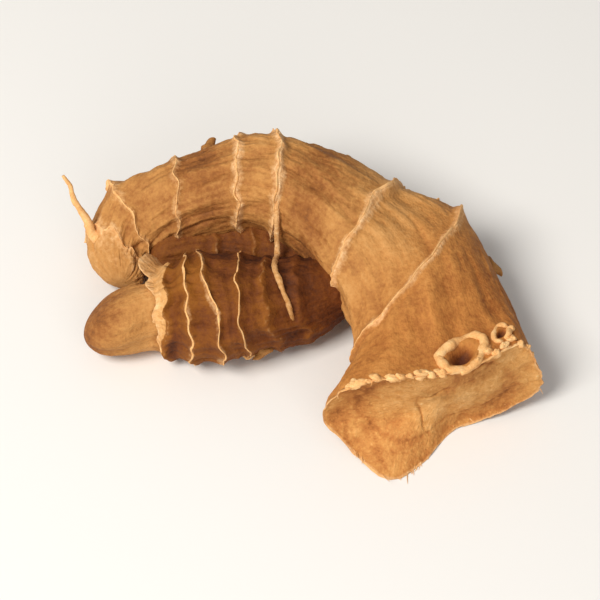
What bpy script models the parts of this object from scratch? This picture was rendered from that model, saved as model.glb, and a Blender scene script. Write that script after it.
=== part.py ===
"""A dried galangal rhizome: one forked root, with an arched finger, a short finger and a broad cut end.

It lies on the ground plane with X along its length, Y across and Z up, in metres. The origin is under its
middle.
"""

import math
from typing import NamedTuple

import bpy
import numpy as np

MM = 0.001

# Cross-sections along each finger. Each row holds the centre x, y and z in mm, then three angles in degrees:
# the compass heading of the side that faces the fork, how far that side dips, and how far the top leans
# forward. The last two values are the half width and the half height in mm.
ARCH_SECTIONS = (
    (-23.3, -0.2, 3.2, -14, 0, 0, 3.1, 2.9),
    (-23.9, 3.6, 3.9, -30, 0, 0, 3.8, 3.7),
    (-22.2, 7.1, 5.1, -50, 0, 0, 4.9, 4.8),
    (-17.2, 9.0, 7.4, -76, 0, 0, 5.3, 5.2),
    (-9.0, 9.9, 9.8, -90, 0, 0, 5.9, 5.9),
    (-4.2, 9.0, 10.3, -97, 0, 0, 6.5, 6.4),
    (0.9, 6.7, 9.6, -110, 0, 0, 7.0, 6.4),
    (5.5, 3.1, 8.2, -122, 0, 0, 8.3, 6.5),
    (10.6, -0.2, 6.6, -138, 3, 0, 9.8, 6.6),
    (13.3, -6.6, 6.5, -158, 7, 0, 9.4, 6.4),
    (14.1, -13.0, 6.3, -167, 10, -3, 10.3, 6.1),
    (14.2, -19.0, 6.3, -170, 12, -4, 12.4, 6.2),
)
FINGER_SECTIONS = (
    (5.0, -0.4, 4.9, -80, 0, 0, 3.9, 3.9),
    (0.4, -3.2, 4.9, -84, 0, 0, 4.8, 4.6),
    (-5.0, -5.3, 5.5, -88, 0, 0, 5.8, 5.5),
    (-10.0, -6.0, 6.0, -90, 0, 0, 6.5, 6.1),
    (-14.6, -6.1, 5.9, -91, 0, 0, 6.1, 6.0),
    (-17.6, -6.1, 5.0, -92, 0, 0, 4.5, 4.9),
    (-19.2, -6.1, 4.5, -92, 0, 0, 3.9, 4.3),
    (-22.4, -6.5, 4.0, -95, 0, 0, 4.5, 4.2),
    (-27.2, -7.6, 3.4, -98, 0, 0, 3.1, 3.2),
)
LOBE_SECTIONS = (
    (4.5, 1.4, 5.4, -104, 0, 0, 4.6, 4.4),
    (-2.0, 3.6, 4.4, -98, 0, 0, 4.8, 4.0),
    (-8.0, 5.2, 3.9, -92, 0, 0, 4.6, 3.8),
    (-13.6, 5.4, 3.7, -90, 0, 0, 4.3, 3.6),
    (-20.4, 4.2, 3.5, -90, 0, 0, 3.5, 3.2),
)

# Leaf-scar rings: the distance along the finger, how much further the ring sits on the fork side, how much
# further on top, and the height of its lip, in mm. Then the angle and the height of a burr, a ragged bit of
# leaf base.
ARCH_RINGS = (
    (4.4, -0.6, -0.2, 0.16, 200, 0.3),
    (7.9, -1.2, -0.4, 0.26, 150, 0.4),
    (14.5, -0.8, 0.1, 0.20, 120, 0.2),
    (22.4, 0.1, 0.1, 0.24, 60, 0.2),
    (26.9, 0.8, 0.8, 0.34, 100, 0.3),
    (40.4, 0.5, 0.3, 0.28, 122, 0.5),
    (50.3, 6.0, 1.6, 0.26, 150, 0.6),
)
FINGER_RINGS = (
    (7.2, 0.0, 1.0, 0.20, 60, 0.2),
    (11.0, 0.0, 1.2, 0.24, 100, 0.2),
    (14.4, 0.0, 0.9, 0.26, 30, 0.2),
    (18.4, -1.4, 0.7, 0.28, 90, 0.2),
    (21.1, -0.6, 0.4, 0.28, 50, 0.2),
    (23.6, 0.0, 0.4, 0.45, 120, 0.5),
)
LOBE_RINGS = (
    (12.0, 0.4, 0.0, 0.30, 0, 0.2),
    (17.0, -0.3, 0.4, 0.30, 20, 0.2),
)
BURR_WIDTH = 0.34

# The rim of the broad cut end: the angle round it in degrees, from the fork side over the top, and x, y and z
# in mm.
CUT_RIM = (
    (-8, 0.9, -21.0, 4.6),
    (36, 4.2, -21.4, 10.6),
    (68, 10.0, -20.9, 11.4),
    (102, 17.4, -19.5, 10.6),
    (134, 23.5, -15.3, 9.8),
    (170, 25.9, -15.2, 6.6),
    (202, 26.9, -15.8, 2.8),
    (234, 22.2, -17.8, 0.6),
    (264, 16.4, -19.8, 0.2),
    (288, 12.6, -24.6, 0.1),
    (308, 8.6, -27.0, 0.1),
    (330, 4.0, -23.0, 1.0),
)
RIM_REACH = 15.0

ARCH_COLUMNS = 48
FINGER_COLUMNS = 36
LOBE_COLUMNS = 20
RING_ROWS = (-0.45, 0.0, 0.4, 0.95)
ROW_PITCH = 1.9
FURROW_DEPTH = 0.60
FURROWS = 11
LUMP_HEIGHT = 0.42

# The cut face: the depth of its dish, the height of the mound in its middle, and the rows between both.
DISH_DEPTH = 0.7
MOUND_HEIGHT = 0.35
FACE_ROWS = (0.93, 0.84, 0.68, 0.48, 0.26)

# Rootlets that lie on the skin. Each one is a thickness, then stations along it: which finger it lies on, the
# distance along that finger, the angle round it in degrees, and the height above the skin, in mm.
ROOTLETS = (
    (0.7, (("arch", 26.9, 60, -0.2), ("arch", 27.1, 22, 0.3), ("finger", 9.9, 150, 0.5),
           ("finger", 9.6, 105, 0.4), ("finger", 9.0, 72, 0.4), ("finger", 8.5, 42, 0.3),
           ("finger", 8.4, 12, -0.4))),
    (0.7, (("arch", 33.6, 232, -0.4), ("arch", 34.8, 214, 0.2), ("arch", 36.6, 200, 0.1),
           ("arch", 38.2, 193, 0.3), ("arch", 39.2, 196, -0.4))),
    (0.7, (("arch", 55.6, 218, -0.4), ("arch", 54.0, 208, 0.2), ("arch", 52.4, 204, 0.2),
           ("arch", 50.8, 210, -0.4))),
    (0.6, (("arch", 17.0, 140, -0.4), ("arch", 18.2, 152, 0.2), ("arch", 19.0, 170, 0.2),
           ("arch", 20.6, 180, -0.3))),
)
# Rootlets that curl into a loop: which finger, the distance along, the angle round it in degrees, half the
# length of the loop, half its width, and the thickness, in mm.
LOOPS = (
    ("arch", 62.6, 101, 2.1, 2.6, 1.0),
    ("arch", 62.6, 126, 1.0, 1.2, 0.7),
)
SPIKE_POINTS = (
    (-24.0, 4.6, 4.4),
    (-26.6, 5.0, 6.6),
    (-27.3, 6.0, 8.3),
    (-28.6, 6.9, 10.2),
    (-29.2, 8.2, 11.6),
    (-29.9, 8.7, 12.8),
)
SPIKE_THICKNESS = (1.7, 1.3, 0.9, 0.75, 0.6, 0.4)

# Stubs of trimmed roots: which finger, the distance along, the angle round it in degrees, and the thickness
# in mm.
STUBS = (
    ("arch", 11.0, 205, 1.3),
    ("arch", 17.8, 232, 1.6),
    ("arch", 19.2, 168, 1.2),
    ("arch", 30.4, 226, 1.7),
    ("arch", 34.0, 172, 1.3),
    ("arch", 37.0, 300, 1.5),
    ("arch", 43.6, 208, 1.7),
    ("arch", 54.4, 186, 1.5),
    ("arch", 56.0, 334, 1.4),
    ("finger", 12.6, 318, 1.3),
    ("finger", 19.0, 204, 1.2),
    ("lobe", 9.6, 262, 1.5),
)
STUB_HEIGHT = 0.95
STUB_SIDES = 8

FLOOR_REACH = 60.0
FLOOR_DEPTH = 6.0


class Finger(NamedTuple):
    """A finger: its path and rings, how wide their lips are, its seed and how its ends round off."""

    path: tuple
    rings: tuple
    lip_width: float
    seed: int
    blunt_start: float
    blunt_end: float
    cut: bool


def curve_through(rows, steps=24):
    """A smooth curve through all rows but the first and last, which only steer its ends."""
    t = np.linspace(0, 1, steps, endpoint=False)[:, None]
    spans = []
    for before, start, end, after in zip(rows, rows[1:], rows[2:], rows[3:]):
        bend = 2 * before - 5 * start + 4 * end - after
        twist = 3 * start - before - 3 * end + after
        spans.append(start + 0.5 * ((end - before) * t + bend * t**2 + twist * t**3))
    return np.vstack([*spans, rows[-2:-1]])


def smooth_path(sections):
    """Runs a smooth curve through the sections. It returns the distance along it and the sections there."""
    rows = np.array(sections, float)
    dense = curve_through(np.vstack([2 * rows[0] - rows[1], rows, 2 * rows[-1] - rows[-2]]))
    lengths = np.linalg.norm(np.diff(dense[:, :3], axis=0), axis=1)
    return np.concatenate([[0.0], np.cumsum(lengths)]), dense


def frame_at(path, along):
    """The centre, the directions to the fork side, up and ahead, and both half sizes, at each distance."""
    run, dense = path
    values = [np.interp(along, run, dense[:, k]) for k in range(8)]
    centre = np.stack(values[:3], -1)
    heading, dip, lean = (np.radians(v) for v in values[3:6])
    side = np.stack([np.cos(heading) * np.cos(dip), np.sin(heading) * np.cos(dip), -np.sin(dip)], -1)
    rise = np.stack([np.cos(heading) * np.sin(dip), np.sin(heading) * np.sin(dip), np.cos(dip)], -1)
    ahead = np.cross(rise, side)
    up = rise * np.cos(lean)[..., None] + ahead * np.sin(lean)[..., None]
    return centre, side, up, ahead, values[6], values[7]


def wave(seed, angle, orders):
    """A closed wavy line, between about -1 and 1: cosines of the given orders with seeded phases."""
    rng = np.random.default_rng(seed)
    total = np.zeros_like(angle)
    for order in orders:
        size = rng.uniform(0.5, 1.0) / math.sqrt(order)
        total += size * np.cos(order * angle + rng.uniform(0, 2 * math.pi))
    return total / math.sqrt(len(orders))


def turned(angle):
    """The same angle, between minus and plus half a turn."""
    return np.angle(np.exp(1j * angle))


def ring_offset(ring, seed, angle):
    """How far along the finger a ring strays from its own distance, at each angle round it."""
    _, towards_fork, on_top, *_ = ring
    return towards_fork * np.cos(angle) + on_top * np.sin(angle) + 0.5 * wave(seed, angle, (2, 3, 5, 8))


def furrows(seed, angle, share):
    """Lengthwise drying furrows of one internode: seeded grooves that fade out at its two rings."""
    rng = np.random.default_rng(seed)
    depth = np.zeros_like(angle)
    for place in np.arange(FURROWS) * 2 * math.pi / FURROWS:
        place = place + rng.uniform(-0.25, 0.25) + rng.uniform(-0.3, 0.3) * (share - 0.5)
        depth += rng.uniform(0.2, 1.0) * np.exp(-((turned(angle - place) / rng.uniform(0.13, 0.20)) ** 2))
    return -FURROW_DEPTH * depth * np.sin(math.pi * np.clip(share, 0, 1)) ** 0.6


def rim_point(angle):
    """The rim of the cut end, at each angle round it."""
    rows = np.array(CUT_RIM, float)
    turn = np.array([360.0, 0, 0, 0])
    dense = curve_through(np.vstack([rows[-2:] - turn, rows, rows[:3] + turn]))
    degrees = (np.degrees(angle) + 20) % 360 - 20
    return np.stack([np.interp(degrees, dense[:, 0], dense[:, k]) for k in (1, 2, 3)], -1)


def skin(finger, along, angle):
    """Points of a finger's skin in mm, and the direction away from its middle there.

    A point sits at a distance along the finger and an angle round it. Between two rings the grid is sheared
    so that its rows follow both wavy rings. Each ring raises a lip, and drying furrows run between the rings,
    fainter at a blunt tip. Towards the cut end the round section turns into the shape of the rim.
    """
    length = finger.path[0][-1]
    marks = np.array([0.0, *(ring[0] for ring in finger.rings), length])
    offsets = [ring_offset(ring, finger.seed + k, angle) for k, ring in enumerate(finger.rings)]
    offsets = np.stack([np.zeros_like(angle), *offsets, np.zeros_like(angle)])
    place = np.clip(np.searchsorted(marks, along, side="right") - 1, 0, len(marks) - 2)
    share = np.clip((along - marks[place]) / (marks[place + 1] - marks[place]), 0, 1)
    shift = np.take_along_axis(offsets, place[None], 0)[0] * (1 - share)
    shift += np.take_along_axis(offsets, place[None] + 1, 0)[0] * share

    relief = LUMP_HEIGHT * wave(finger.seed + 30, angle + along / 9.0, (2, 3))
    relief += 0.4 * LUMP_HEIGHT * np.sin(along / 2.3 + 2 * angle)
    for k, (distance, _, _, lip, burr_angle, burr) in enumerate(finger.rings):
        away = along - distance
        ragged = burr * np.exp(-((turned(angle - math.radians(burr_angle)) / BURR_WIDTH) ** 2))
        height = lip * (1 + 0.5 * wave(finger.seed + 40 + k, angle, (3, 4, 7))) + ragged
        relief += height * np.exp(-((away / finger.lip_width) ** 2))
        relief -= 0.35 * lip * np.exp(-(((np.abs(away) - 1.1) / 0.5) ** 2))
    for k in range(len(marks) - 1):
        at_tip = k == 0 and finger.blunt_start or k == len(finger.rings) and finger.blunt_end
        depth = furrows(finger.seed + 60 + k, angle, share) * (0.3 if at_tip else 1.0)
        relief += np.where(place == k, depth, 0)

    centre, side, up, _, half_width, half_height = frame_at(finger.path, np.clip(along + shift, 0, length))
    tip = np.ones_like(along)
    if finger.blunt_start:
        tip = tip * np.sqrt(1 - (1 - np.clip(along / finger.blunt_start, 0, 1)) ** 2)
    if finger.blunt_end:
        tip = tip * np.sqrt(1 - (1 - np.clip((length - along) / finger.blunt_end, 0, 1)) ** 2)
    across = side * (np.cos(angle) * half_width * tip)[..., None]
    over = up * (np.sin(angle) * half_height * tip)[..., None]
    out = side * (np.cos(angle) / half_width)[..., None] + up * (np.sin(angle) / half_height)[..., None]
    out /= np.linalg.norm(out, axis=-1, keepdims=True)
    points = centre + across + over + out * (relief * tip)[..., None]
    if finger.cut:
        end = frame_at(finger.path, np.full_like(along, length))
        oval = end[0] + end[1] * (np.cos(angle) * end[4])[..., None]
        oval += end[2] * (np.sin(angle) * end[5])[..., None]
        blend = np.clip((along - length + RIM_REACH) / RIM_REACH, 0, 1)
        points += (rim_point(angle) - oval) * (blend**2 * (3 - 2 * blend))[..., None]
    return points, out


def rows_along(finger):
    """The distances of a finger's grid rows, close together at each ring and at a blunt end."""
    length = finger.path[0][-1]
    bend = np.linspace(0, math.pi / 2, 5)
    fixed = [0.0, length]
    if finger.blunt_start:
        fixed += list(finger.blunt_start * (1 - np.cos(bend)))
    if finger.blunt_end:
        fixed += list(length - finger.blunt_end * (1 - np.cos(bend)))
    for ring in finger.rings:
        fixed += [ring[0] + step for step in RING_ROWS]
    fixed = np.unique(np.round(fixed, 3))
    fixed = fixed[np.concatenate([[True], np.diff(fixed) > 0.12])]
    rows = [fixed[0]]
    for place in fixed[1:]:
        count = max(1, round((place - rows[-1]) / ROW_PITCH))
        rows += list(np.linspace(rows[-1], place, count + 1)[1:])
    return np.array(rows)


def skin_grid(finger, columns):
    """The finger's skin as a grid of points, with a row for each distance and a column for each angle."""
    along = rows_along(finger)
    angle = np.tile(np.arange(columns) * 2 * math.pi / columns, (len(along), 1))
    points, _ = skin(finger, np.repeat(along[:, None], columns, 1), angle)
    return points


def closed_grid(name, points):
    """An object from a grid whose columns go round and whose first and last rows shrink to one point each."""
    rows, columns, _ = points.shape
    corners = np.vstack([points[0].mean(0)[None], points[1:-1].reshape(-1, 3), points[-1].mean(0)[None]]) * MM
    last = len(corners) - 1
    index = 1 + np.arange((rows - 2) * columns).reshape(rows - 2, columns)
    beside = np.roll(index, -1, axis=1)
    faces = np.stack([index[:-1], beside[:-1], beside[1:], index[1:]], -1).reshape(-1, 4).tolist()
    faces += [(0, b, a) for a, b in zip(index[0].tolist(), beside[0].tolist())]
    faces += [(last, a, b) for a, b in zip(index[-1].tolist(), beside[-1].tolist())]
    mesh = bpy.data.meshes.new(name)
    mesh.from_pydata(corners.tolist(), [], faces)
    obj = bpy.data.objects.new(name, mesh)
    bpy.context.scene.collection.objects.link(obj)
    return obj


def arch_grid(arch):
    """The long finger's skin from its blunt tip to the rim, then the dished cut face up to its middle."""
    points = skin_grid(arch, ARCH_COLUMNS)
    rim = points[-1]
    middle = rim.mean(0)
    forward = frame_at(arch.path, arch.path[0][-1:])[3][0]
    spoke = rim - middle
    level = spoke @ forward
    flat = spoke - level[:, None] * forward
    face = []
    for share in (*FACE_ROWS, 0.0):
        dish = DISH_DEPTH * (1 - share**8) - MOUND_HEIGHT * math.exp(-((share / 0.4) ** 2))
        face.append(middle + flat * share + forward * (level * share**2 - dish)[:, None])
    return np.concatenate([points, np.stack(face)])


def tube(name, points, thickness, sides=6):
    """A round rod through the points, with a thickness at each, closed at both ends."""
    points = np.array(points, float)
    radius = np.broadcast_to(np.array(thickness, float) / 2, len(points))
    heading = np.gradient(points, axis=0)
    heading /= np.linalg.norm(heading, axis=1, keepdims=True)
    across = np.cross(heading, [0.31, 0.17, 0.94])
    across /= np.linalg.norm(across, axis=1, keepdims=True)
    over = np.cross(heading, across)
    angle = np.arange(sides) * 2 * math.pi / sides
    turn = across[:, None] * np.cos(angle)[None, :, None] + over[:, None] * np.sin(angle)[None, :, None]
    rings = points[:, None] + turn * radius[:, None, None]
    start = np.repeat(points[:1, None], sides, 1)
    end = np.repeat(points[-1:, None], sides, 1)
    return closed_grid(name, np.concatenate([start, rings, end]))


def on_skin(fingers, stations):
    """The point at each station: a finger's name, the distance along, the degrees round and the height."""
    knots = []
    for name, along, degrees, height in stations:
        point, out = skin(fingers[name], np.array([float(along)]), np.radians([float(degrees)]))
        knots.append(point[0] + out[0] * height)
    return np.array(knots)


def rootlet(name, knots, thickness):
    """A rootlet through the knots, thinner at both ends."""
    line = curve_through(np.vstack([2 * knots[0] - knots[1], knots, 2 * knots[-1] - knots[-2]]), steps=3)
    taper = 1 - 0.35 * np.abs(np.linspace(-1, 1, len(line))) ** 3
    return tube(name, line, thickness * taper)


def loop_stations(name, along, degrees, half_length, half_width, girth):
    """Stations once round an oval on the skin, with both ends dipping into it."""
    stations = []
    for step in range(11):
        turn = math.radians(-100 + 37.5 * step)
        height = -0.6 if step in (0, 10) else 0.35
        spread = math.degrees(half_width / girth) * math.cos(turn)
        stations.append((name, along - half_length * math.sin(turn), degrees + spread, height))
    return stations


def stub(fingers, number, name, along, degrees, thickness):
    """The stub of a trimmed root: a short bent peg that widens into the skin."""
    rng = np.random.default_rng(700 + number)
    point, out = skin(fingers[name], np.array([float(along)]), np.radians([float(degrees)]))
    heights = np.array([-1.2, 0.05, 0.35, 0.7, 1.0]) * STUB_HEIGHT
    bend = np.cross(out[0], rng.normal(size=3)) * 0.45
    line = point[0] + out[0] * heights[:, None] + bend * np.clip(heights, 0, None)[:, None]
    widths = thickness * np.array([1.7, 1.5, 1.1, 0.95, 0.75])
    return tube(f"stub {number}", line, widths, STUB_SIDES)


def apply_boolean(obj, operation, **settings):
    """Applies one Boolean to the object and keeps the mesh that it makes."""
    cut = obj.modifiers.new(operation, "BOOLEAN")
    cut.operation = operation
    cut.solver = "EXACT"
    for name, value in settings.items():
        setattr(cut, name, value)
    bpy.context.view_layer.update()
    made = bpy.data.meshes.new_from_object(obj.evaluated_get(bpy.context.evaluated_depsgraph_get()))
    obj.modifiers.clear()
    obj.data = made


def join_all(base, others):
    """Makes one solid of overlapping ones, by one Boolean union, and removes the pieces."""
    group = bpy.data.collections.new("pieces")
    bpy.context.scene.collection.children.link(group)
    for other in others:
        bpy.context.scene.collection.objects.unlink(other)
        group.objects.link(other)
    apply_boolean(base, "UNION", operand_type="COLLECTION", collection=group)
    for other in list(group.objects):
        bpy.data.objects.remove(other)
    bpy.data.collections.remove(group)


def level_feet(obj):
    """Cuts the lowest points flat at the ground, which makes the small spots that it rests on."""
    reach = FLOOR_REACH * MM
    corners = [(x * reach, y * reach, z) for z in (-FLOOR_DEPTH * MM, 0.0) for y in (-1, 1) for x in (-1, 1)]
    faces = [(0, 2, 3, 1), (4, 5, 7, 6), (0, 1, 5, 4), (2, 6, 7, 3), (0, 4, 6, 2), (1, 3, 7, 5)]
    mesh = bpy.data.meshes.new("ground")
    mesh.from_pydata(corners, [], faces)
    ground = bpy.data.objects.new("ground", mesh)
    bpy.context.scene.collection.objects.link(ground)
    apply_boolean(obj, "DIFFERENCE", object=ground)
    bpy.data.objects.remove(ground)


def centre_on_origin(obj):
    """Moves the mesh so that the middle of its box is over the origin."""
    corners = np.empty(len(obj.data.vertices) * 3)
    obj.data.vertices.foreach_get("co", corners)
    corners = corners.reshape(-1, 3)
    middle = (corners.min(0) + corners.max(0)) / 2
    corners -= (middle[0], middle[1], corners[:, 2].min())
    obj.data.vertices.foreach_set("co", corners.ravel())
    obj.data.update()


def skin_material():
    """The tan of the dried skin."""
    material = bpy.data.materials.new("dried skin")
    material.use_nodes = True
    shader = material.node_tree.nodes["Principled BSDF"]
    shader.inputs["Base Color"].default_value = (0.42, 0.20, 0.065, 1)
    shader.inputs["Roughness"].default_value = 0.75
    return material


def main():
    for obj in list(bpy.data.objects):
        bpy.data.objects.remove(obj)

    arch = Finger(smooth_path(ARCH_SECTIONS), ARCH_RINGS, 0.36, 100, 3.4, 0.0, True)
    finger = Finger(smooth_path(FINGER_SECTIONS), FINGER_RINGS, 0.5, 200, 2.0, 3.8, False)
    lobe = Finger(smooth_path(LOBE_SECTIONS), LOBE_RINGS, 0.4, 300, 2.0, 3.6, False)
    fingers = {"arch": arch, "finger": finger, "lobe": lobe}

    rhizome = closed_grid("rhizome", arch_grid(arch))
    pieces = [
        closed_grid("finger", skin_grid(finger, FINGER_COLUMNS)),
        closed_grid("lobe", skin_grid(lobe, LOBE_COLUMNS)),
        tube("spike", SPIKE_POINTS, SPIKE_THICKNESS),
    ]
    for number, (thickness, stations) in enumerate(ROOTLETS):
        pieces.append(rootlet(f"rootlet {number}", on_skin(fingers, stations), thickness))
    for number, (name, along, degrees, half_length, half_width, thickness) in enumerate(LOOPS):
        girth = float(frame_at(fingers[name].path, np.array([along]))[4][0])
        stations = loop_stations(name, along, degrees, half_length, half_width, girth)
        pieces.append(rootlet(f"loop {number}", on_skin(fingers, stations), thickness))
    for number, (name, along, degrees, thickness) in enumerate(STUBS):
        pieces.append(stub(fingers, number, name, along, degrees, thickness))
    join_all(rhizome, pieces)
    level_feet(rhizome)
    centre_on_origin(rhizome)
    rhizome.data.shade_smooth()
    rhizome.data.set_sharp_from_angle(angle=math.radians(50))
    rhizome.data.materials.clear()
    rhizome.data.materials.append(skin_material())


main()
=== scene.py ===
"""A dried galangal rhizome, finished for its picture: wrinkled skin, leaf scars, cut flesh and rootlets.

The tables are in mm and degrees and repeat the part's own. The meshes are in metres, where the part stands.
"""

import math
from typing import NamedTuple

import bpy
import numpy as np
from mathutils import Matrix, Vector


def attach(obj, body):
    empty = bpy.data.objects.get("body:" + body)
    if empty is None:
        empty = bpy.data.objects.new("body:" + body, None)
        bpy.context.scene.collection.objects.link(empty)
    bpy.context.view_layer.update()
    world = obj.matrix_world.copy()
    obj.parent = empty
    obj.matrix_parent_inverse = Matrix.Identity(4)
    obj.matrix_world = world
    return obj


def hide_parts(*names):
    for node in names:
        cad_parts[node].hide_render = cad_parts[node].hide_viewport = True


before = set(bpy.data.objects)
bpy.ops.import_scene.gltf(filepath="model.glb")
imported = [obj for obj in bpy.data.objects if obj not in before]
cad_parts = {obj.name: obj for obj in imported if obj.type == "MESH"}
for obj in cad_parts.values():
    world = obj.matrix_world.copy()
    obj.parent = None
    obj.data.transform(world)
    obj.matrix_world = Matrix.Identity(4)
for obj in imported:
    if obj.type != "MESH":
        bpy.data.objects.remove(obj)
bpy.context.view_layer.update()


# The long finger.
# It is the stem of the dried root: a hooked, ringed finger that arches over the table and widens into the
# broad end where it was cut from its plant. At the rim its skin gives way to the bare flesh of the cut.

class Finger(NamedTuple):
    """A finger: its path, rings and the width of their lips, its wrinkles' seed and how its ends round off.

    A root scar is a distance along, an angle, a radius and a depth. The tones say how light each stretch
    is, and the scar strengths how clearly each ring shows as a cream line.
    """

    path: tuple
    rings: tuple
    lip_width: float
    seed: int
    blunt_start: float
    blunt_end: float
    root_scars: tuple
    tones: tuple
    scar_width: float
    scar_strengths: tuple
    cut: bool = False


# Each row holds the centre x, y and z, then three angles: the compass heading of the side that faces the
# fork, how far that side dips, and how far the top leans forward. The last two values are the half width
# and half height.
ARCH_SECTIONS = (
    (-23.3, -0.2, 3.2, -14, 0, 0, 3.1, 2.9),
    (-23.9, 3.6, 3.9, -30, 0, 0, 3.8, 3.7),
    (-22.2, 7.1, 5.1, -50, 0, 0, 4.9, 4.8),
    (-17.2, 9.0, 7.4, -76, 0, 0, 5.3, 5.2),
    (-9.0, 9.9, 9.8, -90, 0, 0, 5.9, 5.9),
    (-4.2, 9.0, 10.3, -97, 0, 0, 6.5, 6.4),
    (0.9, 6.7, 9.6, -110, 0, 0, 7.0, 6.4),
    (5.5, 3.1, 8.2, -122, 0, 0, 8.3, 6.5),
    (10.6, -0.2, 6.6, -138, 3, 0, 9.8, 6.6),
    (13.3, -6.6, 6.5, -158, 7, 0, 9.4, 6.4),
    (14.1, -13.0, 6.3, -167, 10, -3, 10.3, 6.1),
    (14.2, -19.0, 6.3, -170, 12, -4, 12.4, 6.2),
)
# Leaf-scar rings: the distance along the finger, how much further the ring sits on the fork side, how much
# further on top, and the height of its lip. Then the angle and the height of a burr, a ragged bit of leaf
# base.
ARCH_RINGS = (
    (4.4, -0.6, -0.2, 0.16, 200, 0.3),
    (7.9, -1.2, -0.4, 0.26, 150, 0.4),
    (14.5, -0.8, 0.1, 0.20, 120, 0.2),
    (22.4, 0.1, 0.1, 0.24, 60, 0.2),
    (26.9, 0.8, 0.8, 0.34, 100, 0.3),
    (40.4, 0.5, 0.3, 0.28, 122, 0.5),
    (50.3, 6.0, 1.6, 0.26, 150, 0.6),
)
# The rim of the cut end: the angle round it, from the fork side over the top, and x, y and z.
CUT_RIM = (
    (-8, 0.9, -21.0, 4.6),
    (36, 4.2, -21.4, 10.6),
    (68, 10.0, -20.9, 11.4),
    (102, 17.4, -19.5, 10.6),
    (134, 23.5, -15.3, 9.8),
    (170, 25.9, -15.2, 6.6),
    (202, 26.9, -15.8, 2.8),
    (234, 22.2, -17.8, 0.6),
    (264, 16.4, -19.8, 0.2),
    (288, 12.6, -24.6, 0.1),
    (308, 8.6, -27.0, 0.1),
    (330, 4.0, -23.0, 1.0),
)
RIM_REACH = 15.0
BURR_WIDTH = 0.34
FURROW_DEPTH = 0.60
FURROWS = 11
LUMP_HEIGHT = 0.42
DISH_DEPTH = 0.7
MOUND_HEIGHT = 0.35
# From the places in the tables to a frame with its origin at the middle of the piece.
CENTRING = np.array([1.6539, 5.0745, 0.0])
# The last three lie in and beside the loops of rootlet by the cut end.
ARCH_ROOT_SCARS = (
    (11.6, 250, 0.7, 0.35), (18.6, 120, 0.5, 0.25), (24.8, 215, 0.8, 0.4), (31.5, 150, 0.6, 0.3),
    (35.4, 262, 0.9, 0.4), (42.8, 172, 0.8, 0.35), (45.5, 318, 0.7, 0.3), (53.6, 240, 0.9, 0.4),
    (58.8, 168, 0.7, 0.3), (57.5, 290, 0.8, 0.35), (62.6, 101, 1.7, 0.9), (62.6, 126, 0.7, 0.6),
    (63.7, 112, 0.5, 0.4))
# How light the skin is: the distance along, and a step up or down from the middle tan.
ARCH_TONES = (
    (0, 0.04), (8, -0.02), (12, -0.08), (18, -0.22), (22, -0.08), (26, -0.02), (33, -0.18), (38, 0.0),
    (44, 0.1), (52, -0.08), (65, 0.04))
SCALY_LENGTH = 6.5


def curve_through(rows, steps):
    """A smooth curve through all rows but the first and last, which only steer its ends."""
    t = np.linspace(0, 1, steps, endpoint=False)[:, None]
    spans = []
    for before, start, end, after in zip(rows, rows[1:], rows[2:], rows[3:]):
        bend = 2 * before - 5 * start + 4 * end - after
        twist = 3 * start - before - 3 * end + after
        spans.append(start + 0.5 * ((end - before) * t + bend * t**2 + twist * t**3))
    return np.vstack([*spans, rows[-2:-1]])


def whole_curve(rows, steps=24):
    """A smooth curve through all rows, steered at each end by a row that mirrors the last but one."""
    return curve_through(np.vstack([2 * rows[0] - rows[1], rows, 2 * rows[-1] - rows[-2]]), steps)


def run_along(points):
    """How far along a line each of its points lies."""
    return np.concatenate([[0.0], np.cumsum(np.linalg.norm(np.diff(points, axis=0), axis=1))])


def smooth_path(sections):
    """Runs a smooth curve through the sections. It returns the distance along it and the sections there."""
    dense = whole_curve(np.array(sections, float))
    return run_along(dense[:, :3]), dense


def frame_at(path, along):
    """The centre, the directions to the fork side, up and ahead, and both half sizes, at each distance."""
    run, dense = path
    values = [np.interp(along, run, dense[:, k]) for k in range(8)]
    centre = np.stack(values[:3], -1) + CENTRING
    heading, dip, lean = (np.radians(v) for v in values[3:6])
    side = np.stack([np.cos(heading) * np.cos(dip), np.sin(heading) * np.cos(dip), -np.sin(dip)], -1)
    rise = np.stack([np.cos(heading) * np.sin(dip), np.sin(heading) * np.sin(dip), np.cos(dip)], -1)
    ahead = np.cross(rise, side)
    up = rise * np.cos(lean)[..., None] + ahead * np.sin(lean)[..., None]
    return centre, side, up, ahead, values[6], values[7]


def half_sizes(finger, distance):
    """Half the width and half the height of a finger's oval, at one distance along it."""
    return [float(size[0]) for size in frame_at(finger.path, np.array([float(distance)]))[4:]]


def on_oval(side, up, angle, wide, high):
    """The way from the middle of an oval to its edge, at each angle from its side towards its top."""
    return side * (np.cos(angle) * wide)[..., None] + up * (np.sin(angle) * high)[..., None]


def unit(vectors):
    """The vectors' directions, at length one."""
    return vectors / np.linalg.norm(vectors, axis=-1, keepdims=True)


def wave(seed, angle, orders):
    """A closed wavy line, between about -1 and 1: cosines of the given orders with seeded phases."""
    rng = np.random.default_rng(seed)
    total = np.zeros_like(angle)
    for order in orders:
        size, phase = rng.uniform(0.5, 1.0), rng.uniform(0, 2 * math.pi)
        total += size * np.cos(order * angle + phase) / math.sqrt(order)
    return total / math.sqrt(len(orders))


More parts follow.
